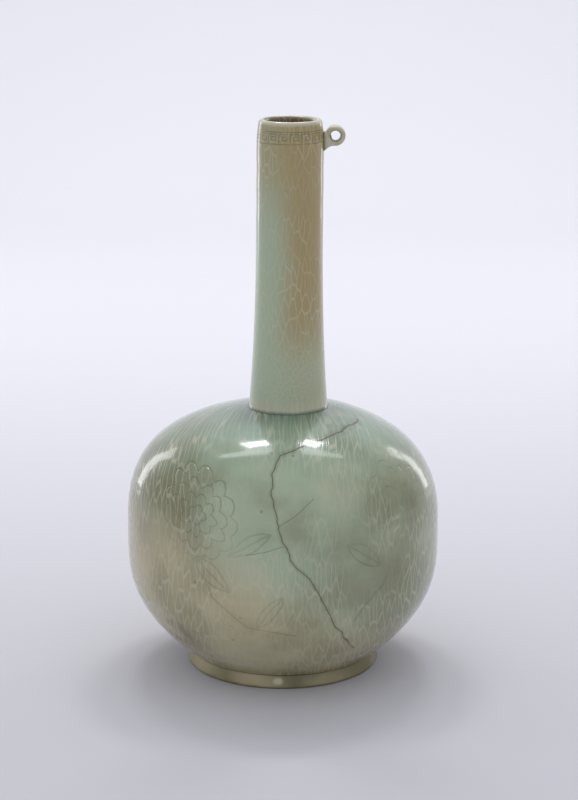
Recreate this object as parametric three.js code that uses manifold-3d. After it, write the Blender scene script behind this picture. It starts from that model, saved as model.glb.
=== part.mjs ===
// A long-necked celadon bottle, put together the way a potter makes one: a body thrown in two bowls
// and luted at the belly, a foot ring luted below, a neck tube set on the shoulder and a strap of
// clay rolled into a lug near the mouth. Millimetres, +Z up; the bottle stands on z = 0.
import * as THREE from 'three';
import { mergeVertices } from 'three/addons/utils/BufferGeometryUtils.js';
import Module from 'manifold-3d';

const wasm = await Module();
wasm.setup();

// Whole bottle
const HEIGHT = 345;
const SEGMENTS = 48; // facets round every turned piece
const WALL_STEPS = 9; // points along each curved wall

// Body
const BELLY_RADIUS = 98;
const BELLY_HEIGHT = 96;
const BODY_WALL = 6;
const FLOOR_THICKNESS = 8;
const HEEL_RADIUS = 61.4; // where the lower wall springs from above the foot
const HEEL_SWING = [40.7, 34.3]; // curve handle at the heel: out and up
const HEEL_ROUND = 0.5;
const BELLY_DROP = 31.6; // curve handle under the belly
const BELLY_RISE = 43.6; // curve handle over the belly
const SHOULDER_SWING = [45.7, 8.3]; // curve handle at the neck seat: out and down
const SHOULDER_TILT = 0.014; // one side of the shoulder sagged by this slope

// Foot
const FOOT_RADIUS = 60.4; // where it stands
const FOOT_TOP_RADIUS = 59.2; // under the body
const FOOT_WALL = 8.4;
const FOOT_HEIGHT = 9;
const FOOT_EDGE = 1.2; // wear on the standing edge

// Neck
const SEAT_HEIGHT = 165.8; // level ring on the shoulder that takes the neck
const NECK_BASE_RADIUS = 24.6;
const NECK_RADIUS = 20.6;
const FLARE_LENGTH = 100; // height over which the base narrows to the tube
const FLARE_HANDLES = [22, 40]; // curve handles at the base and at the end of the flare
const FLARE_SWING = 2; // how far the base handle leans in
const BORE_RADIUS = 15.6;
const BORE_BASE_RADIUS = 16.5;
const LIP_RADIUS = 19.5;
const LIP_WALL = 4.4;
const LIP_TAPER = 12; // height over which the mouth draws in
const NECK_OFFSET = 3.4; // the neck was set this far to one side of the body's axis
const NECK_LEAN = 0.0078; // sideways drift for each millimetre of height

// Slip in the joints
const SLIP = 0.4;
const SLIP_PROUD = 0.5; // squeezed out round the neck
const SLIP_SHY = 1.3; // wiped back in the groove over the foot
const SEAT_RADIUS = NECK_BASE_RADIUS + SLIP_PROUD + 0.3;

// Lug
const LUG_RADIUS = 6.2;
const EYE_RADIUS = 3;
const LUG_WIDTH = 9; // along the eye
const LUG_BEVEL = 0.7;
const LUG_DROP = 10; // rim to the middle of the eye
const LUG_REACH = 6.8; // neck surface to the middle of the eye
const LUG_ROOT = 9; // the outline runs this far back, into the neck, before it is trimmed
const LUG_TAIL = 13; // the smeared end runs this far below the eye
const LUG_CLEARANCE = 0.3;

const NECK_BOTTOM = SEAT_HEIGHT + SLIP;
const BODY_BOTTOM = FOOT_HEIGHT + SLIP;
const LOWER_TOP = BELLY_HEIGHT - SLIP / 2;
const UPPER_BOTTOM = BELLY_HEIGHT + SLIP / 2;

const bodyGlaze = new THREE.MeshStandardMaterial({ color: 0x9caa92, roughness: 0.18, metalness: 0 });
const neckGlaze = new THREE.MeshStandardMaterial({ color: 0xa09a78, roughness: 0.2, metalness: 0 });
const lugGlaze = new THREE.MeshStandardMaterial({ color: 0xb7a98c, roughness: 0.35, metalness: 0 });
const footGlaze = new THREE.MeshStandardMaterial({ color: 0x8d8a74, roughness: 0.4, metalness: 0 });
const slipClay = new THREE.MeshStandardMaterial({ color: 0x6f6b5c, roughness: 0.8, metalness: 0 });

const at = (r, z) => new THREE.Vector2(r, z);

// The wall of a bowl: its outer curve going up, and the same curve one wall thickness inside.
const lowerWall = new THREE.CubicBezierCurve(
  at(HEEL_RADIUS, BODY_BOTTOM + HEEL_ROUND),
  at(HEEL_RADIUS + HEEL_SWING[0], BODY_BOTTOM + HEEL_ROUND + HEEL_SWING[1]),
  at(BELLY_RADIUS, LOWER_TOP - BELLY_DROP),
  at(BELLY_RADIUS, LOWER_TOP),
);
const upperWall = new THREE.CubicBezierCurve(
  at(BELLY_RADIUS, UPPER_BOTTOM),
  at(BELLY_RADIUS, UPPER_BOTTOM + BELLY_RISE),
  at(SEAT_RADIUS + SHOULDER_SWING[0], SEAT_HEIGHT - SHOULDER_SWING[1]),
  at(SEAT_RADIUS, SEAT_HEIGHT),
);

// The unit normal of a wall's curve, towards the inside of the bottle.
function inward({ v0, v1, v2, v3 }, t) {
  const tangent = v1.clone().sub(v0).multiplyScalar((1 - t) * (1 - t));
  tangent.addScaledVector(v2.clone().sub(v1), 2 * t * (1 - t));
  tangent.addScaledVector(v3.clone().sub(v2), t * t);
  return at(-tangent.y, tangent.x).normalize();
}

function along(curve, from, to, steps, inset = 0) {
  return Array.from({ length: steps + 1 }, (_, i) => {
    const t = from + ((to - from) * i) / steps;
    return curve.getPoint(t).add(inward(curve, t).multiplyScalar(inset));
  });
}

function arc(centre, radius, from, to, steps) {
  return Array.from({ length: steps + 1 }, (_, i) => {
    const angle = THREE.MathUtils.degToRad(from + ((to - from) * i) / steps);
    return at(centre.x + radius * Math.cos(angle), centre.y + radius * Math.sin(angle));
  });
}

// A profile given anticlockwise in (radius, height), turned about +Z.
function turned(profile) {
  const onAxis = profile[0].x === 0;
  const closed = onAxis ? profile : [...profile, profile[0].clone()];
  return new THREE.LatheGeometry(closed, SEGMENTS).rotateX(Math.PI / 2);
}

function moved(geometry, change) {
  const position = geometry.attributes.position;
  const vertex = new THREE.Vector3();
  for (let i = 0; i < position.count; i += 1) {
    change(vertex.fromBufferAttribute(position, i));
    position.setXYZ(i, vertex.x, vertex.y, vertex.z);
  }
  geometry.computeVertexNormals();
  return geometry;
}

// Sets a turned piece on the neck's own axis.
function onNeckAxis(vertex) {
  vertex.x += NECK_OFFSET + NECK_LEAN * (vertex.z - NECK_BOTTOM);
}

// Draws the shoulder over to the neck's axis and lets one side sag.
function shoulderSlump(vertex) {
  const share = (vertex.z - UPPER_BOTTOM) / (SEAT_HEIGHT - UPPER_BOTTOM);
  const radius = Math.hypot(vertex.x, vertex.y);
  vertex.z -= SHOULDER_TILT * vertex.x * Math.sin(Math.PI * share);
  vertex.x += NECK_OFFSET * (1 - THREE.MathUtils.smoothstep(radius, 28, 62));
}

function solidOf(geometry) {
  const bare = geometry.clone().deleteAttribute('normal').deleteAttribute('uv');
  const merged = mergeVertices(bare, 1e-4);
  return new wasm.Manifold(new wasm.Mesh({
    numProp: 3,
    vertProperties: merged.attributes.position.array,
    triVerts: new Uint32Array(merged.index.array),
  }));
}

function geometryOf(solid) {
  const mesh = solid.getMesh();
  const geometry = new THREE.BufferGeometry();
  geometry.setAttribute('position', new THREE.BufferAttribute(mesh.vertProperties, 3));
  geometry.setIndex(new THREE.BufferAttribute(mesh.triVerts, 1));
  geometry.computeVertexNormals();
  return geometry;
}

function footRing() {
  const inner = FOOT_TOP_RADIUS - FOOT_WALL;
  return turned([
    at(inner + FOOT_EDGE, 0),
    at(FOOT_RADIUS - FOOT_EDGE, 0),
    at(FOOT_RADIUS, FOOT_EDGE),
    at(FOOT_TOP_RADIUS + 0.4, FOOT_HEIGHT - FOOT_EDGE),
    at(FOOT_TOP_RADIUS, FOOT_HEIGHT),
    at(inner, FOOT_HEIGHT),
    at(inner, FOOT_EDGE),
  ]);
}

function slipRing(innerRadius, outerRadius, bottom) {
  return turned([
    at(innerRadius, bottom),
    at(outerRadius, bottom),
    at(outerRadius, bottom + SLIP),
    at(innerRadius, bottom + SLIP),
  ]);
}

function bodyLower() {
  const floor = BODY_BOTTOM + FLOOR_THICKNESS;
  return turned([
    at(0, BODY_BOTTOM),
    at(HEEL_RADIUS - HEEL_ROUND, BODY_BOTTOM),
    ...along(lowerWall, 0, 1, WALL_STEPS),
    ...along(lowerWall, 1, 0.1, WALL_STEPS - 1, BODY_WALL),
    at(HEEL_RADIUS - FLOOR_THICKNESS, floor),
    at(0, floor),
  ]);
}

function bodyUpper() {
  const dome = turned([
    ...along(upperWall, 0, 1, WALL_STEPS + 2),
    at(BORE_BASE_RADIUS, SEAT_HEIGHT),
    at(BORE_BASE_RADIUS, SEAT_HEIGHT - BODY_WALL),
    ...along(upperWall, 0.98, 0, WALL_STEPS, BODY_WALL),
  ]);
  return moved(dome, shoulderSlump);
}

// The neck's outer wall from its foot to the start of the lip.
function neckWall(growth = 0) {
  const flareTop = NECK_BOTTOM + FLARE_LENGTH;
  const base = NECK_BASE_RADIUS + growth;
  const tube = NECK_RADIUS + growth;
  const flare = new THREE.CubicBezierCurve(
    at(base, NECK_BOTTOM + 1),
    at(base - FLARE_SWING, NECK_BOTTOM + FLARE_HANDLES[0]),
    at(tube + 0.2, flareTop - FLARE_HANDLES[1]),
    at(tube, flareTop),
  );
  return [...along(flare, 0, 1, WALL_STEPS), at(tube, HEIGHT - LIP_TAPER)];
}

function neck() {
  const round = LIP_WALL / 2;
  const tube = turned([
    at(BORE_BASE_RADIUS, NECK_BOTTOM),
    at(NECK_BASE_RADIUS - 1, NECK_BOTTOM),
    ...neckWall(),
    ...arc(at(LIP_RADIUS - round, HEIGHT - round), round, 0, 180, 8),
    at(BORE_RADIUS, HEIGHT - LIP_TAPER),
    at(BORE_RADIUS, NECK_BOTTOM + FLARE_LENGTH),
  ]);
  return moved(tube, onNeckAxis);
}

// The strap rolled round its eye, trimmed to lie against the neck.
function cordLug() {
  const outline = new THREE.Shape(arc(at(0, 0), LUG_RADIUS, -100, 165, 20));
  const start = arc(at(0, 0), LUG_RADIUS, -100, -100, 1)[0];
  outline.lineTo(-LUG_ROOT, 2);
  outline.lineTo(-LUG_ROOT, -LUG_TAIL);
  outline.quadraticCurveTo(-LUG_ROOT / 2, -LUG_TAIL / 2, start.x, start.y);
  outline.holes.push(new THREE.Path(arc(at(0, 0), EYE_RADIUS, 360, 20, 17)));
  const strap = new THREE.ExtrudeGeometry(outline, {
    depth: LUG_WIDTH - 2 * LUG_BEVEL,
    bevelThickness: LUG_BEVEL,
    bevelSize: LUG_BEVEL,
    bevelOffset: -LUG_BEVEL,
    bevelSegments: 2,
    curveSegments: 8,
  });
  const eyeHeight = HEIGHT - LUG_DROP;
  const axis = NECK_OFFSET + NECK_LEAN * (eyeHeight - NECK_BOTTOM);
  strap.rotateX(Math.PI / 2);
  strap.translate(axis + NECK_RADIUS + LUG_REACH, LUG_WIDTH / 2 - LUG_BEVEL, eyeHeight);
  const core = turned([
    at(0, NECK_BOTTOM + 1),
    ...neckWall(LUG_CLEARANCE),
    at(LIP_RADIUS + LUG_CLEARANCE, HEIGHT),
    at(0, HEIGHT),
  ]);
  return geometryOf(solidOf(strap).subtract(solidOf(moved(core, onNeckAxis))));
}

const bottle = new THREE.Group();
bottle.name = 'ceramic_bottle';

function add(name, geometry, material) {
  const mesh = new THREE.Mesh(geometry, material);
  mesh.name = name;
  bottle.add(mesh);
}

const neckSlip = slipRing(BORE_BASE_RADIUS + 1, NECK_BASE_RADIUS + SLIP_PROUD, SEAT_HEIGHT);
neckSlip.translate(NECK_OFFSET, 0, 0);
const footSlipInner = FOOT_TOP_RADIUS - FOOT_WALL + 1;

add('foot_ring', footRing(), footGlaze);
add('foot_lute', slipRing(footSlipInner, FOOT_TOP_RADIUS - SLIP_SHY, FOOT_HEIGHT), slipClay);
add('body_lower', bodyLower(), bodyGlaze);
add('belly_lute', slipRing(BELLY_RADIUS - BODY_WALL + 0.5, BELLY_RADIUS - 0.4, LOWER_TOP), slipClay);
add('body_upper', bodyUpper(), bodyGlaze);
add('neck_lute', neckSlip, slipClay);
add('neck', neck(), neckGlaze);
add('cord_lug', cordLug(), lugGlaze);

export default bottle;
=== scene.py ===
import math

import bpy
from bpy.props import FloatProperty, FloatVectorProperty, IntProperty, PointerProperty
from bpy.types import Operator, Panel, PropertyGroup
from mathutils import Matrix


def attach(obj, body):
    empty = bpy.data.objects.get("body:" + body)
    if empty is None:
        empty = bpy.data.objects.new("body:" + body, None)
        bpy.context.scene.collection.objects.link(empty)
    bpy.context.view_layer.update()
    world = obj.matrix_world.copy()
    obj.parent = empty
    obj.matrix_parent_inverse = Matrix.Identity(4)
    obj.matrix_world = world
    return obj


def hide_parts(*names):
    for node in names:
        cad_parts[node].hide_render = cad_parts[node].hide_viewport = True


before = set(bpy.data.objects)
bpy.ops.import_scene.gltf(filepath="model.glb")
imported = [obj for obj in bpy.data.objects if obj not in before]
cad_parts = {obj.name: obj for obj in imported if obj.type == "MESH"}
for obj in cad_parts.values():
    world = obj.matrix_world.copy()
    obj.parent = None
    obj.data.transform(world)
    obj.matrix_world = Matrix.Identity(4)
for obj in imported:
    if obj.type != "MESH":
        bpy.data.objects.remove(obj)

bl_info = {
    "name": "Celadon Bottle",
    "version": (1, 0, 0),
    "blender": (4, 5, 0),
    "location": "View3D > Sidebar > Bottle",
    "description": "Builds a long-necked celadon bottle, its glazes and a soft studio round it",
    "category": "Add Mesh",
}

MM = 0.001

# Curve handles of the body's wall
HEEL_SWING = (40.7 * MM, 34.3 * MM)  # out and up from the heel
BELLY_DROP = 31.8 * MM
BELLY_RISE = 43.8 * MM
SHOULDER_SWING = (45.7 * MM, 8.3 * MM)  # out and down from the neck's seat
WALL_STEPS = (90, 100)  # points up the lower and the upper outer wall
INNER_STEPS = 24

# Small forms
FLOOR_THICKNESS = 8 * MM
HEEL_ROUND = 0.5 * MM
SKIN = 0.04 * MM  # the glazed wall keeps this far inside its widest curve
SLIP = 0.4 * MM
GROOVE = 1.3 * MM  # depth of the groove over the foot
FOOT_WEAR = 1.2 * MM
BORE_FLARE = 0.9 * MM
OFFSET_START, OFFSET_SPAN = 28 * MM, 34 * MM  # radii over which the shoulder draws to the neck

# Cut and cracked lines, in millimetres round from the front and up from the foot
LEFT_FLOWER, RIGHT_FLOWER = (-54.0, 118.0), (78.0, 122.0)
PETALS = (  # centre, radius, lobes, depth, phase
    (LEFT_FLOWER, 27.0, 13.0, 0.16, 0.9),
    (LEFT_FLOWER, 20.0, 11.0, 0.20, 0.0),
    (LEFT_FLOWER, 13.0, 9.0, 0.26, 0.6),
    (LEFT_FLOWER, 6.5, 5.0, 0.30, 0.0),
    (RIGHT_FLOWER, 25.0, 12.0, 0.16, 0.0),
    (RIGHT_FLOWER, 18.0, 10.0, 0.22, 0.4),
    (RIGHT_FLOWER, 11.0, 8.0, 0.28, 0.0),
)
LEAVES = (  # centre, turn in radians, half length, half width
    ((-20.0, 104.0), 0.5, 15.0, 5.0),
    ((-44.0, 84.0), -0.7, 16.0, 5.5),
    ((-72.0, 88.0), 0.9, 14.0, 5.0),
    ((-8.0, 62.0), 0.9, 13.0, 4.6),
    ((50.0, 96.0), -0.6, 15.0, 5.0),
    ((84.0, 88.0), 0.8, 14.0, 4.8),
)
STEMS = (
    ((-52.0, 98.0), (-44.0, 70.0), (-22.0, 52.0), (8.0, 46.0)),
    ((74.0, 104.0), (66.0, 74.0), (44.0, 54.0)),
)
HAIRLINE = ((62.0, 160.0), (37.0, 159.0), (14.0, 156.0), (-1.0, 152.0), (-6.0, 144.0),
            (-7.0, 133.0), (-3.0, 119.0), (0.0, 107.0), (6.0, 95.0), (15.0, 84.0),
            (27.0, 65.0), (33.0, 50.0), (46.0, 31.0))
BRANCHES = (
    ((0.0, 104.0), (-9.0, 101.0), (-22.0, 98.0)),
    ((-2.0, 116.0), (8.0, 122.0), (19.0, 131.0)),
)
GRIT_PATCH = (-62.0, 38.0)
BARE_SPOT = (-3.0, 5.0)

# Key-fret band: one key about its own middle, in millimetres
KEY = ((-3.0, -2.4), (-3.0, 2.4), (2.2, 2.4), (2.2, -1.2), (-0.9, -1.2), (-0.9, 0.9), (0.7, 0.9))
KEY_COUNT = 18
KEY_HEIGHT = 335.5
KEY_RULE = 3.6  # from the middle of the band to the line over and under it
KEY_RADIUS = 20.4

# Studio: name, place, width, height, watts and what the lamp points at
BOTTLE_MIDDLE = (0.0, 0.0, 0.16)
LAMPS = (
    ("softbox_left", (-0.22, 0.80, 1.62), 0.32, 0.20, 4.2, BOTTLE_MIDDLE),
    ("softbox_right", (0.24, 0.80, 1.62), 0.32, 0.20, 4.2, BOTTLE_MIDDLE),
    ("strip_left", (-1.15, 1.15, 0.45), 0.26, 1.2, 3.0, BOTTLE_MIDDLE),
    ("strip_right", (1.15, 1.25, 0.45), 0.22, 1.2, 2.2, BOTTLE_MIDDLE),
    ("back_wash", (0.0, 0.9, 2.6), 2.4, 0.6, 17.0, (0.0, 2.2, 1.2)),
)
AIR_COLOUR = (0.88, 0.89, 0.93, 1.0)
AIR_STRENGTH = 0.84
AIR_DIMMED = 0.50  # taken off where the glaze mirrors it
CAMERA_PLACE = (0.0039, -1.362, 0.5105)
CAMERA_TURN = (math.radians(75.93), 0.0, 0.0)
CAMERA_LENS = 101.0


def length(name, default, description, high=1.0):
    return FloatProperty(name=name, description=description, default=default, min=0.0, max=high,
                         unit="LENGTH", precision=5)


def slope(name, default, description):
    return FloatProperty(name=name, description=description, default=default, min=0.0, max=0.1)


def colour(name, default, description):
    return FloatVectorProperty(name=name, description=description, default=default,
                               subtype="COLOR", size=3, min=0.0, max=1.0)


class BottleShape(PropertyGroup):
    """Sizes of the bottle"""

    height: length("Height", 0.345, "Foot to rim")
    belly_radius: length("Belly radius", 0.098, "Widest radius of the body")
    belly_height: length("Belly height", 0.096, "Height of the widest part")
    heel_radius: length("Heel radius", 0.0614, "Radius where the wall leaves the foot")
    body_bottom: length("Body bottom", 0.0094, "Height of the body's underside")
    wall: length("Wall", 0.006, "Thickness of the body's wall")
    seat_height: length("Seat height", 0.1658, "Height of the shoulder beside the neck")
    seat_radius: length("Seat radius", 0.0254, "Radius of the shoulder beside the neck")
    foot_radius: length("Foot radius", 0.0604, "Radius of the standing edge")
    foot_top_radius: length("Foot top radius", 0.0592, "Radius of the foot under the body")
    foot_wall: length("Foot wall", 0.0084, "Thickness of the foot ring")
    foot_height: length("Foot height", 0.009, "Height of the foot ring")
    neck_base_radius: length("Neck base radius", 0.0246, "Radius of the neck at the shoulder")
    neck_radius: length("Neck radius", 0.0206, "Radius of the neck's tube")
    bore_radius: length("Bore radius", 0.0156, "Inner radius of the neck")
    lip_radius: length("Lip radius", 0.0195, "Outer radius of the rim")
    lip_wall: length("Lip wall", 0.0044, "Thickness of the rim")
    neck_offset: length("Neck offset", 0.0034, "Distance from the body's axis to the neck's")
    neck_lean: slope("Neck lean", 0.0078, "Sideways drift for each unit of height")
    shoulder_tilt: slope("Shoulder tilt", 0.014, "Slope of the sagging shoulder")
    ripple: length("Throwing rings", 0.00012, "Depth of the potter's finger marks", high=0.002)
    segments: IntProperty(name="Segments", description="Facets round each turned piece",
                          default=256, min=24, max=720)
    eye_radius: length("Eye radius", 0.003, "Radius of the hole in the lug")
    lug_radius: length("Lug radius", 0.0062, "Outer radius of the lug")
    lug_width: length("Lug width", 0.009, "Width of the lug's strap")
    lug_drop: length("Lug drop", 0.010, "Rim to the middle of the lug's eye")
    lug_reach: length("Lug reach", 0.0068, "Neck surface to the middle of the lug's eye")


class BottleColours(PropertyGroup):
    """Colours of the glaze and the studio"""

    sea_green: colour("Sea green", (0.40, 0.475, 0.335), "Glaze on the front of the body")
    teal: colour("Teal", (0.24, 0.35, 0.27), "Thicker glaze on the shoulder")
    pool: colour("Pool", (0.10, 0.16, 0.115), "Glaze pooled round the neck")
    # Olive is the glaze's own browner tone. On the body's flanks it is also painted shade, and
    # in the lug's eye it is all painted shade.
    olive_and_shade: colour("Olive", (0.175, 0.165, 0.085), "Browner glaze on the flanks")
    buff: colour("Buff", (0.47, 0.41, 0.25), "Thin glaze low on the body")
    ochre: colour("Ochre", (0.38, 0.30, 0.145), "Oxidised glaze on the neck")
    cream: colour("Cream", (0.56, 0.54, 0.40), "Thin glaze on edges and in the crazing")
    line: colour("Line", (0.11, 0.12, 0.075), "Glaze in the cut lines")
    # Crack also paints the shade in the groove at the top of the foot.
    crack: colour("Crack", (0.055, 0.045, 0.03), "Stained hairline")
    # Stain is the real iron spots and staining, and is also the painted shade inside the neck's
    # bore.
    stain: colour("Stain", (0.13, 0.09, 0.045), "Iron spots")
    # Floor and backdrop are one paper: the floor's darker and the backdrop's lighter colour are
    # painted shade and light along the sweep.
    floor: colour("Floor", (0.56, 0.56, 0.60), "Studio floor")
    wall: colour("Backdrop", (0.80, 0.80, 0.84), "Studio backdrop")


class Field:
    """A value in a shader, so that sums of sockets read as arithmetic."""

    tree = None

    def __init__(self, socket):
        self.socket = socket

    @classmethod
    def node(cls, kind, output=0, inputs=(), **settings):
        made = cls.tree.nodes.new(kind)
        for key, value in settings.items():
            setattr(made, key, value)
        pairs = inputs.items() if isinstance(inputs, dict) else enumerate(inputs)
        for key, value in pairs:
            cls.put(made.inputs[key], value)
        return cls(made.outputs[output])

    @classmethod
    def put(cls, target, value):
        if isinstance(value, Field):
            cls.tree.links.new(value.socket, target)
        elif target.type == "RGBA" and len(value) == 3:
            target.default_value = (*value, 1.0)
        else:
            target.default_value = value

    def math(self, operation, *others):
        return Field.node("ShaderNodeMath", inputs=(self, *others), operation=operation)

    def __add__(self, other):
        return self.math("ADD", other)

    def __sub__(self, other):
        return self.math("SUBTRACT", other)

    def __rsub__(self, other):
        return Field.node("ShaderNodeMath", inputs=(other, self), operation="SUBTRACT")

    def __mul__(self, other):
        return self.math("MULTIPLY", other)

    def __truediv__(self, other):
        return self.math("DIVIDE", other)

    def __neg__(self):
        return self.math("MULTIPLY", -1.0)

    def __abs__(self):
        return self.math("ABSOLUTE")

    __radd__ = __add__
    __rmul__ = __mul__

    def clamped(self):
        """The same sum, kept between 0 and 1."""
        self.socket.node.use_clamp = True
        return self

    def smooth(self, start, end):
        """0 below start, 1 above end and eased between."""
        return Field.node("ShaderNodeMapRange", interpolation_type="SMOOTHSTEP",
                          inputs={"Value": self, "From Min": start, "From Max": end})

    def split(self):
        """The three parts of a vector."""
        parts = Field.node("ShaderNodeSeparateXYZ", inputs=(self,)).socket.node
        return [Field(output) for output in parts.outputs]


def least(*fields):
    result = fields[0]
    for field in fields[1:]:
        result = result.math("MINIMUM", field)
    return result


def across(x, y):
    return (x * x + y * y).math("SQRT")


def layered(base, *coats):
    """Coats of (mask, colour) laid over a base colour in turn."""
    for mask, coat in coats:
        base = Field.node("ShaderNodeMix", output=2, data_type="RGBA",
                          inputs={0: mask, 6: base, 7: coat})
    return base


def noise(vector, scale, detail=2.0):
    return Field.node("ShaderNodeTexNoise",
                      inputs={"Vector": vector, "Scale": scale, "Detail": detail})


def specks(vector, scale, start, end):
    """Round dots, one to a cell."""
    cells = Field.node("ShaderNodeTexVoronoi", inputs={"Vector": vector, "Scale": scale})
    return 1.0 - cells.smooth(start, end)


def bump(height, distance, strength):
    return Field.node("ShaderNodeBump",
                      inputs={"Height": height, "Distance": distance, "Strength": strength})


def new_material(name):
    made = bpy.data.materials.new(name)
    made.use_nodes = True
    made.node_tree.nodes.clear()
    Field.tree = made.node_tree
    return made


def surface(tint, roughness, **constants):
    """Closes the material in hand; a constant's name has _ where its socket has a space."""
    inputs = {"Base Color": tint, "Roughness": roughness}
    inputs.update({key.replace("_", " "): value for key, value in constants.items()})
    shader = Field.node("ShaderNodeBsdfPrincipled", inputs=inputs)
    output = Field.tree.nodes.new("ShaderNodeOutputMaterial")
    Field.put(output.inputs["Surface"], shader)


class Marks:
    """Lines drawn in millimetres: along is the way round from the front, up the height."""

    def __init__(self, along, up):
        self.along = along
        self.up = up

    def segment(self, start, end):
        """Distance to a straight line between two places."""
        (ax, ay), (bx, by) = start, end
        dx, dy = bx - ax, by - ay
        reach = (((self.along - ax) * dx + (self.up - ay) * dy) / (dx * dx + dy * dy)).clamped()
        return across(self.along - ax - reach * dx, self.up - ay - reach * dy)

    def path(self, places):
        return least(*(self.segment(a, b) for a, b in zip(places, places[1:])))

    def petals(self, centre, radius, lobes, depth, phase):
        """Distance to a lobed ring."""
        px, py = self.along - centre[0], self.up - centre[1]
        lobed = (py.math("ARCTAN2", px) * (lobes / 2.0) + phase).math("COSINE")
        outline = radius * (1.0 - depth) + abs(lobed) * (radius * depth)
        return abs(across(px, py) - outline)

    def leaf(self, centre, turn, half_length, half_width):
        """Distance to a pointed leaf's edge and its midrib."""
        px, py = self.along - centre[0], self.up - centre[1]
        cos, sin = math.cos(turn), math.sin(turn)
        lengthwise = px * cos + py * sin
        sideways = abs(py * cos - px * sin)
        edge = (1.0 - (lengthwise / half_length).math("POWER", 2.0)) * half_width
        beyond = (abs(lengthwise) - half_length).math("MAXIMUM", 0.0)
        return least(abs(sideways - edge) + beyond, sideways + beyond)


def stroke(distance, width):
    """1 on a line and 0 beyond its width."""
    return 1.0 - distance.smooth(width * 0.4, width)


class Wall(Marks):
    """Where a point of a turned wall lies, in millimetres."""

    def __init__(self, axis_x=0.0):
        self.position = Field.node("ShaderNodeTexCoord", output="Object")
        x, y, z = self.position.split()
        self.x = x * 1000.0 - axis_x
        self.y = y * 1000.0
        self.radius = across(self.x, self.y)
        self.side = self.x / self.radius
        self.turn = self.x.math("ARCTAN2", -self.y)
        super().__init__(self.turn * self.radius, z * 1000.0)

    def front(self, end):
        """0 behind the axis, rising to 1 at end millimetres before it."""
        return (-self.y).smooth(0.0, end)

    def crazing(self, stretch, turn, scale):
        """Fine net of glaze cracks, longer one way."""
        wobble = noise(self.position, 45.0, 3.0)
        flat = Field.node("ShaderNodeCombineXYZ", inputs=(self.along, self.up, 0.0))
        drift = Field.node("ShaderNodeCombineXYZ", inputs=(wobble * 5.0, wobble * -4.0, 0.0))
        drawn = Field.node("ShaderNodeVectorMath", operation="ADD", inputs=(flat, drift))
        laid = Field.node("ShaderNodeMapping", inputs={
            "Vector": drawn, "Rotation": (0.0, 0.0, turn), "Scale": (1.0, stretch, 1.0)})
        edge = Field.node("ShaderNodeTexVoronoi", feature="DISTANCE_TO_EDGE",
                          voronoi_dimensions="2D", inputs={"Vector": laid, "Scale": scale})
        return 1.0 - edge.smooth(0.02, 0.11)


def add_mesh(name, vertices, faces):
    mesh = bpy.data.meshes.new(name)
    mesh.from_pydata(vertices, [], faces)
    mesh.shade_smooth()
    made = bpy.data.objects.new(name, mesh)
    bpy.context.scene.collection.objects.link(made)
    return made


def turned(name, profile, count, warp=None):
    """A closed profile of (radius, height) turned about the axis, then moved by warp."""
    turns = [math.tau * i / count for i in range(count)]
    vertices, rings, faces = [], [], []
    for radius, height in profile:
        first = len(vertices)
        if radius == 0.0:
            rings.append([first] * count)
            vertices.append((0.0, 0.0, height))
        else:
            rings.append(list(range(first, first + count)))
            vertices += [(radius * math.cos(t), radius * math.sin(t), height) for t in turns]
    pairs = list(zip(rings, rings[1:]))
    if profile[0][0] != 0.0:
        pairs.append((rings[-1], rings[0]))
    for low, high in pairs:
        for i in range(count):
            j = (i + 1) % count
            faces.append(tuple(dict.fromkeys((low[i], low[j], high[j], high[i]))))
    if warp:
        vertices = [warp(*vertex) for vertex in vertices]
    return add_mesh(name, vertices, faces)


def bezier(a, b, c, d, steps, start=0.0, end=1.0, inset=0.0):
    """Points along a cubic curve, set in from it towards its left."""
    places = []
    for i in range(steps + 1):
        t = start + (end - start) * i / steps
        s = 1.0 - t
        r, z = (s ** 3 * p + 3 * s * s * t * q + 3 * s * t * t * u + t ** 3 * w
                for p, q, u, w in zip(a, b, c, d))
        dr, dz = (s * s * (q - p) + 2 * s * t * (u - q) + t * t * (w - u)
                  for p, q, u, w in zip(a, b, c, d))
        size = math.hypot(dr, dz)
        places.append((r - inset * dz / size, z + inset * dr / size))
    return places


def arc(r, z, radius, start, end, steps):
    """Points along an arc, its angles in degrees."""
    angles = (math.radians(start + (end - start) * i / steps) for i in range(steps + 1))
    return [(r + radius * math.cos(a), z + radius * math.sin(a)) for a in angles]


def neck_axis(shape, height):
    return shape.neck_offset + shape.neck_lean * (height - shape.seat_height)


def place(piece, glaze, *nodes, slot):
    """Glazes a piece, hides the solids that it stands for and hangs it under the root body."""
    piece.data.materials.append(glaze)
    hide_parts(*nodes)
    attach(piece, "root")


class BottleStep:
    """What the steps share"""

    bl_options = {"REGISTER", "UNDO"}

    @classmethod
    def poll(cls, context):
        return hasattr(context.scene, "bottle_shape")


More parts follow.
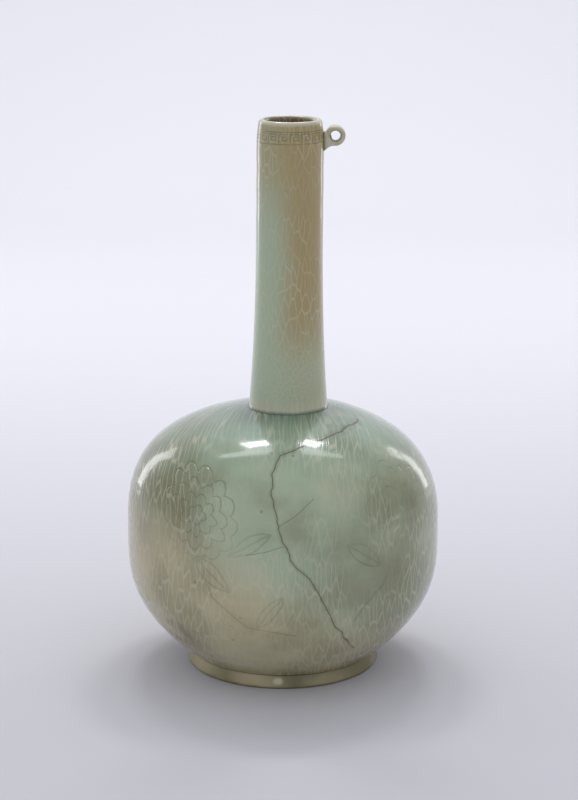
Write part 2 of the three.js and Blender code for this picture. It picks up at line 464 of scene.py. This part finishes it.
class BOTTLE_OT_body(BottleStep, Operator):
    """Build the round body and its glaze"""

    bl_idname = "bottle.body"
    bl_label = "Body"

    def execute(self, context):
        shape = context.scene.bottle_shape
        body = turned("glazed_body", self.profile(shape), shape.segments, self.slump(shape))
        place(body, self.glaze(context.scene.bottle_colours), "body_lower", "body_upper",
              "belly_lute", slot="celadon_glaze")
        return {"FINISHED"}

    def profile(self, shape):
        heel = shape.body_bottom + HEEL_ROUND
        belly = (shape.belly_radius, shape.belly_height)
        lower = ((shape.heel_radius, heel),
                 (shape.heel_radius + HEEL_SWING[0], heel + HEEL_SWING[1]),
                 (belly[0], belly[1] - BELLY_DROP), belly)
        upper = (belly, (belly[0], belly[1] + BELLY_RISE),
                 (shape.seat_radius + SHOULDER_SWING[0], shape.seat_height - SHOULDER_SWING[1]),
                 (shape.seat_radius, shape.seat_height))
        bore = shape.bore_radius + BORE_FLARE
        floor = shape.body_bottom + FLOOR_THICKNESS
        outer = bezier(*lower, WALL_STEPS[0])[:-1] + bezier(*upper, WALL_STEPS[1])
        return [(0.0, shape.body_bottom), (shape.heel_radius - HEEL_ROUND, shape.body_bottom),
                *(self.finger_mark(shape, r, z) for r, z in outer),
                (bore, shape.seat_height), (bore, shape.seat_height - shape.wall),
                *bezier(*upper, INNER_STEPS, 0.98, 0.0, shape.wall),
                *bezier(*lower, INNER_STEPS, 0.98, 0.1, shape.wall),
                (shape.heel_radius - FLOOR_THICKNESS, floor), (0.0, floor)]

    def finger_mark(self, shape, r, z):
        """Shallow throwing rings, left off near the foot and the neck."""
        if z <= shape.body_bottom + HEEL_ROUND + 4 * MM or r <= 45 * MM:
            return r, z
        wave = 0.5 - 0.5 * math.cos(z * 900.0 + 3.0 * math.sin(z * 70.0))
        return r - SKIN - shape.ripple * wave, z

    def slump(self, shape):
        """Draws the shoulder over to the neck's axis and lets one side sag."""
        low = shape.belly_height

        def moved(x, y, z):
            share = min(max((z - low) / (shape.seat_height - low), 0.0), 1.0)
            near = min(max((math.hypot(x, y) - OFFSET_START) / OFFSET_SPAN, 0.0), 1.0)
            drawn = 1.0 - near * near * (3.0 - 2.0 * near) if z > low else 0.0
            sag = shape.shoulder_tilt * x * math.sin(math.pi * share)
            return x + shape.neck_offset * drawn, y, z - sag

        return moved

    def glaze(self, colours):
        made = new_material("celadon_glaze")
        at = Wall()
        big = noise(at.position, 9.0, 4.0)
        mottle = noise(at.position, 26.0, 5.0)
        fine = noise(at.position, 60.0, 5.0)
        # Olive towards the left and right flanks: partly the glaze's own colour, partly painted
        # shade on the flanks.
        left = (big * -0.7 - at.side).smooth(0.08, 0.58)
        right = (at.side + big * 0.8 - fine * 0.3).smooth(0.3, 1.12)
        thin = 1.0 - (at.up + big * 60.0 + at.x * 0.45).smooth(76.0, 126.0)
        # Darker brown band round the bottom of the body, just above the foot.
        heel = 1.0 - (at.up + fine * 5.0).smooth(11.0, 20.0)
        craze = self.craze(at)
        cut = self.sprays(at)
        crack, halo = self.hairline(at)
        grit = self.grit(at, fine)
        tint = layered(
            colours.sea_green,
            (big.smooth(0.42, 0.72) * 0.5, colours.teal),
            # Flanks: olive, partly the glaze's own and partly painted shade.
            (left * 0.85, colours.olive_and_shade),
            (right * 0.62, colours.olive_and_shade),
            (thin * 0.85, colours.buff),
            ((at.up + big * 14.0).smooth(135.0, 168.0) * 0.8, colours.teal),
            ((at.up + fine * 3.0).smooth(161.0, 168.5) * 0.85, colours.pool),
            # darker band round the bottom of the body
            (heel * 0.6, colours.stain),
            (mottle.smooth(0.42, 0.70) * 0.45, colours.olive_and_shade),
            ((1.0 - mottle.smooth(0.28, 0.46)) * 0.30, colours.cream),
            (craze * 0.42, colours.cream),
            (cut * 0.32, colours.line),
            (halo * 0.22, colours.stain),
            (crack * 0.72, colours.crack),
            (grit, colours.stain),
        )
        height = fine * 0.25 + big * 0.6 - cut * 0.5 - crack * 0.5 - craze * 0.08
        surface(tint, fine * 0.10 + craze * 0.08 + grit * 0.25 + 0.10,
                Normal=bump(height, 0.0006, 0.55), Coat_Weight=0.3, Coat_Roughness=0.05, IOR=1.5)
        return made

    def craze(self, at):
        """Slanting cracks on the right and upright ones on the left."""
        right = at.x.smooth(-25.0, 35.0)
        slanting = at.crazing(0.24, 0.75, 0.25) * right
        upright = at.crazing(0.24, 0.12, 0.24) * (1.0 - right * 0.7)
        return (slanting + upright).clamped() * noise(at.position, 20.0).smooth(0.3, 0.6)

    def sprays(self, at):
        """Cut peony sprays, one each side of the front and the same again behind."""
        half = (at.turn * (1.0 / math.pi) + 1.5).math("FRACT") - 0.5
        sway = noise(at.position, 38.0, 3.0) - 0.5
        hand = Marks(half * math.pi * at.radius + sway * 9.0, at.up + sway * -7.0)
        lines = least(*(hand.petals(*petal) for petal in PETALS),
                      *(hand.leaf(*leaf) for leaf in LEAVES),
                      *(hand.path(stem) for stem in STEMS))
        return stroke(lines, 0.8) * noise(at.position, 14.0, 3.0).smooth(0.30, 0.62)

    def hairline(self, at):
        """The dark crack that wanders down the front, and the stain beside it."""
        drift = noise(at.position, 90.0, 4.0) - 0.5
        hand = Marks(at.along + drift * 5.0, at.up + drift * 3.0)
        main = hand.path(HAIRLINE)
        branches = least(*(hand.path(branch) for branch in BRANCHES))
        crack = (stroke(main, 0.38) + stroke(branches, 0.38) * 0.5).clamped()
        return crack, stroke(main, 2.0)

    def grit(self, at, fine):
        """Kiln grit and iron spots, thickest low on the left."""
        dots = specks(at.position, 150.0, 0.10, 0.22)
        dots *= noise(at.position, 55.0, 1.0).smooth(0.60, 0.70)
        away = across(at.x - GRIT_PATCH[0], (at.up - GRIT_PATCH[1]) * math.sqrt(1.6))
        patch = 1.0 - (away + fine * 40.0).smooth(22.0, 46.0)
        patch *= at.front(20.0) * fine.smooth(0.45, 0.62)
        return (dots * 0.7 + patch * 0.75).clamped()


class BOTTLE_OT_foot(BottleStep, Operator):
    """Build the foot ring"""

    bl_idname = "bottle.foot"
    bl_label = "Foot"

    def execute(self, context):
        shape = context.scene.bottle_shape
        inner = shape.foot_top_radius - shape.foot_wall
        groove = shape.foot_top_radius - GROOVE
        profile = [*arc(inner + FOOT_WEAR, FOOT_WEAR, FOOT_WEAR, 180, 270, 5),
                   *arc(shape.foot_radius - FOOT_WEAR, FOOT_WEAR, FOOT_WEAR, -90, 0, 6),
                   (shape.foot_top_radius + 0.5 * MM, 5 * MM),
                   (shape.foot_top_radius + 0.4 * MM, shape.foot_height - FOOT_WEAR),
                   (shape.foot_top_radius, shape.foot_height), (groove, shape.foot_height),
                   (groove, shape.body_bottom), (inner + MM, shape.body_bottom),
                   (inner + MM, shape.foot_height), (inner, shape.foot_height)]
        foot = turned("glazed_foot", profile, shape.segments)
        place(foot, self.glaze(context.scene.bottle_colours), "foot_ring", "foot_lute",
              slot="foot_glaze")
        return {"FINISHED"}

    def glaze(self, colours):
        made = new_material("foot_glaze")
        at = Wall()
        fine = noise(at.position, 70.0, 5.0)
        big = noise(at.position, 16.0, 3.0)
        worn_edge = 1.0 - (at.up + fine * 2.0).smooth(1.4, 3.4)
        away = across(at.along - BARE_SPOT[0], (at.up - BARE_SPOT[1]) * 1.4)
        bare = (1.0 - (away + fine * 3.0).smooth(3.0, 6.0)) * at.front(10.0)
        tint = layered(
            colours.buff,
            (big.smooth(0.35, 0.65), colours.olive_and_shade),
            (worn_edge * 0.8, colours.stain),
            # Painted shade: near-black band at the foot's top, in the groove under the body.
            (at.up.smooth(8.2, 9.0), colours.crack),
            (fine.smooth(0.6, 0.75) * 0.6, colours.stain),
            (bare, colours.cream),
        )
        surface(tint, fine * 0.3 + 0.2, Normal=bump(fine, 0.0006, 0.6), IOR=1.5)
        return made


class BOTTLE_OT_neck(BottleStep, Operator):
    """Build the neck and its rim"""

    bl_idname = "bottle.neck"
    bl_label = "Neck"

    def execute(self, context):
        shape = context.scene.bottle_shape
        neck = turned("glazed_neck", self.profile(shape), shape.segments,
                      lambda x, y, z: (x + neck_axis(shape, z), y, z))
        place(neck, self.glaze(context.scene.bottle_colours), "neck", "neck_lute",
              slot="neck_glaze")
        return {"FINISHED"}

    def profile(self, shape):
        bottom, top = shape.seat_height, shape.height
        foot, tube, bore = shape.neck_base_radius, shape.neck_radius, shape.bore_radius
        lip = shape.lip_wall / 2
        flare = bezier((foot, bottom + SLIP + MM), (foot - 2 * MM, bottom + SLIP + 22 * MM),
                       (tube + 0.2 * MM, bottom + SLIP + 60 * MM),
                       (tube, bottom + SLIP + 100 * MM), 40)
        ripples = [(tube - 0.06 * MM * (1 + math.sin(z * 0.3)), top - (78 - z) * MM)
                   for z in range(14, 66, 2)]
        draw_in = [(tube - inward * MM, top - down * MM)
                   for inward, down in ((0.1, 12), (0.35, 8), (0.7, 5))]
        return [(bore + BORE_FLARE + MM, bottom), (foot + 0.5 * MM, bottom),
                (foot + 0.4 * MM, bottom + SLIP), *flare, *ripples, *draw_in,
                *arc(shape.lip_radius - lip, top - lip, lip, 0, 180, 14),
                (bore, top - 12 * MM), (bore, bottom + 100 * MM),
                (bore + BORE_FLARE, bottom + SLIP)]

    def glaze(self, colours):
        made = new_material("neck_glaze")
        at = Wall(axis_x=4.1)
        big = noise(at.position, 11.0, 4.0)
        fine = noise(at.position, 80.0, 5.0)
        drawn_down = Field.node("ShaderNodeVectorMath", operation="MULTIPLY",
                                inputs=(at.position, (1.0, 1.0, 0.06)))
        streak = noise(drawn_down, 420.0, 3.0)
        right = (at.side + big * 1.1).smooth(-0.05, 0.98)
        lower = 1.0 - (at.up + big * 50.0).smooth(215.0, 262.0)
        base = 1.0 - (at.up + streak * 16.0).smooth(172.0, 186.0)
        joint = 1.0 - (at.up + fine * 1.6).smooth(166.9, 169.0)
        # Painted shade: the inner wall of the bore, darkened with the stain colour.
        inside = 1.0 - at.radius.smooth(15.2, 16.6)
        craze = self.craze(at)
        fret = self.fret(at) * noise(at.position, 60.0).smooth(0.3, 0.6)
        spots = specks(at.position, 130.0, 0.08, 0.2)
        spots *= noise(at.position, 50.0, 1.0).smooth(0.6, 0.68)
        tint = layered(
            colours.sea_green,
            (right, colours.ochre),
            ((at.up + big * 60.0).smooth(300.0, 370.0) * 0.7, colours.ochre),
            (lower * 0.75, colours.sea_green),
            (base * 0.75, colours.cream),
            (joint * 0.85, colours.pool),
            ((at.up + fine * 1.5).smooth(342.6, 344.6) * 0.85, colours.cream),
            # painted shade inside the bore
            (inside * 0.8, colours.stain),
            (craze * 0.42, colours.cream),
            (fret * 0.55, colours.line),
            (spots * 0.7, colours.stain),
        )
        height = fine * 0.3 + streak * 0.15 + big * 0.4 - fret * 0.5 - craze * 0.08
        surface(tint, fine * 0.10 + craze * 0.08 + 0.12, Normal=bump(height, 0.0006, 0.5),
                Coat_Weight=0.3, Coat_Roughness=0.06, IOR=1.5)
        return made

    def craze(self, at):
        """Steep cracks up the tube and an even net round its base."""
        low = 1.0 - at.up.smooth(185.0, 225.0)
        steep = at.crazing(0.28, -0.7, 0.30) * (1.0 - low)
        net = at.crazing(0.8, 0.75, 0.32) * low
        return (steep + net) * noise(at.position, 25.0).smooth(0.3, 0.6)

    def fret(self, at):
        """Key-fret band cut under the rim."""
        period = math.tau / KEY_COUNT
        share = (at.turn / period + 50.0).math("FRACT") - 0.5
        key = Marks(share * (period * KEY_RADIUS), at.up - KEY_HEIGHT)
        return stroke(least(key.path(KEY), abs(key.up - KEY_RULE), abs(key.up + KEY_RULE)), 0.5)


class BOTTLE_OT_lug(BottleStep, Operator):
    """Build the rolled strap lug beside the mouth"""

    bl_idname = "bottle.lug"
    bl_label = "Lug"

    section_steps = 24

    def execute(self, context):
        shape = context.scene.bottle_shape
        eye = shape.height - shape.lug_drop
        centre = neck_axis(shape, eye) + shape.neck_radius + shape.lug_reach
        lug = self.strap(shape, centre, eye)
        place(lug, self.glaze(context.scene.bottle_colours, centre, eye), "cord_lug",
              slot="lug_glaze")
        return {"FINISHED"}

    def strap(self, shape, centre, eye):
        """The strap's section swept from its outline in to the eye and back."""
        outline = self.outline(shape)
        count = len(outline)
        vertices = []
        for step in range(self.section_steps):
            turn = math.tau * step / self.section_steps
            inward = 0.5 - 0.5 * math.cos(turn)
            half = shape.lug_width / 2 * abs(math.sin(turn)) ** 0.45
            y = math.copysign(half, math.sin(turn))
            for x, z in outline:
                angle = math.atan2(z, x)
                hole_x, hole_z = (shape.eye_radius * f(angle) for f in (math.cos, math.sin))
                vertices.append((centre + x + (hole_x - x) * inward, y,
                                 eye + z + (hole_z - z) * inward))
        faces = []
        for step in range(self.section_steps):
            here, there = step * count, (step + 1) % self.section_steps * count
            for i in range(count):
                j = (i + 1) % count
                faces.append((here + i, here + j, there + j, there + i))
        return add_mesh("glazed_lug", vertices, faces)

    def outline(self, shape):
        """Side view about the eye: the roll, its root on the neck and the smeared tail."""
        back = -shape.lug_reach - 0.3 * MM
        tail = (back, -9.4 * MM)
        roll = arc(0.0, 0.0, shape.lug_radius, -96, 160, 40)
        smear = bezier(tail, (-5.9 * MM, -9.0 * MM), (-4.4 * MM, -6.2 * MM), roll[0], 12)[1:-1]
        return [*roll, (back, 2.4 * MM), tail, *smear]

    def glaze(self, colours, centre, eye):
        made = new_material("lug_glaze")
        at = Wall()
        fine = noise(at.position, 160.0, 5.0)
        away = across(at.x - centre / MM, at.up - eye / MM)
        # Painted shade: olive darkening in the lug's eye.
        eye_shade = 1.0 - away.smooth(3.0, 4.0)
        tint = layered(
            colours.cream,
            (fine.smooth(0.35, 0.7), colours.buff),
            # painted shade in the eye
            (eye_shade * 0.8, colours.olive_and_shade),
        )
        surface(tint, fine * 0.3 + 0.15, Normal=bump(fine, 0.0005, 0.6), IOR=1.5)
        return made


class BOTTLE_OT_studio(BottleStep, Operator):
    """Set the floor, the backdrop, the lights and the camera"""

    bl_idname = "bottle.studio"
    bl_label = "Studio"

    def execute(self, context):
        scene = context.scene
        self.sweep(scene.bottle_colours)
        for lamp in LAMPS:
            self.lamp(*lamp)
        scene.world = self.air()
        camera = bpy.data.objects.new("camera", bpy.data.cameras.new("camera"))
        camera.data.lens = CAMERA_LENS
        camera.location = CAMERA_PLACE
        camera.rotation_euler = CAMERA_TURN
        scene.collection.objects.link(camera)
        scene.camera = camera
        scene.view_settings.view_transform = "Standard"
        return {"FINISHED"}

    def sweep(self, colours):
        """Floor and backdrop in one bent sheet of paper."""
        side_view = [(-3.0, 0.0), *arc(1.6, 0.6, 0.6, -90, 0, 12), (2.2, 3.4)]
        count = len(side_view)
        sweep = add_mesh("studio_sweep", [(x, y, z) for x in (-4.0, 4.0) for y, z in side_view],
                         [(i, i + count, i + count + 1, i + 1) for i in range(count - 1)])
        sweep.data.materials.append(new_material("studio_paper"))
        y = Field.node("ShaderNodeTexCoord", output="Object").split()[1]
        # Painted light: the paper's colour darkens towards the front of the floor and lightens
        # up the backdrop.
        surface(layered(colours.floor, (y.smooth(-0.4, 2.0), colours.wall)), 0.9)

    def lamp(self, name, location, width, height, watts, aim):
        light = bpy.data.lights.new(name, "AREA")
        light.shape = "RECTANGLE"
        light.size = width
        light.size_y = height
        light.energy = watts
        made = bpy.data.objects.new(name, light)
        made.location = location
        dx, dy, dz = (a - b for a, b in zip(aim, location))
        made.rotation_euler = (math.pi / 2 + math.atan2(dz, math.hypot(dx, dy)), 0.0,
                               math.atan2(dy, dx) - math.pi / 2)
        bpy.context.scene.collection.objects.link(made)

    def air(self):
        """Even light from all round, dimmer where the glaze mirrors it."""
        world = bpy.data.worlds.new("studio_air")
        world.use_nodes = True
        Field.tree = world.node_tree
        background = world.node_tree.nodes["Background"]
        mirrored = Field.node("ShaderNodeLightPath", output="Is Glossy Ray")
        Field.put(background.inputs["Color"], AIR_COLOUR)
        Field.put(background.inputs["Strength"], AIR_STRENGTH - mirrored * AIR_DIMMED)
        return world


class BOTTLE_PT_panel(Panel):
    """Sizes, colours and steps of the bottle"""

    bl_idname = "BOTTLE_PT_panel"
    bl_label = "Celadon Bottle"
    bl_space_type = "VIEW_3D"
    bl_region_type = "UI"
    bl_category = "Bottle"

    def draw(self, context):
        for group in (context.scene.bottle_shape, context.scene.bottle_colours):
            box = self.layout.box()
            for key in group.__annotations__:
                box.prop(group, key)
        for step in STEPS:
            self.layout.operator(step.bl_idname)


STEPS = (BOTTLE_OT_body, BOTTLE_OT_foot, BOTTLE_OT_neck, BOTTLE_OT_lug, BOTTLE_OT_studio)
CLASSES = (BottleShape, BottleColours, *STEPS, BOTTLE_PT_panel)


def register():
    for each in CLASSES:
        bpy.utils.register_class(each)
    bpy.types.Scene.bottle_shape = PointerProperty(type=BottleShape)
    bpy.types.Scene.bottle_colours = PointerProperty(type=BottleColours)


def unregister():
    del bpy.types.Scene.bottle_colours
    del bpy.types.Scene.bottle_shape
    for each in reversed(CLASSES):
        bpy.utils.unregister_class(each)


def main():
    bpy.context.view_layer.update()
    register()
    bottle = bpy.ops.bottle
    for step in (bottle.body, bottle.foot, bottle.neck, bottle.lug, bottle.studio):
        if step() != {"FINISHED"}:
            raise RuntimeError("a step of the bottle did not finish")
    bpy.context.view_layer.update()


if __name__ == "__main__":
    main()
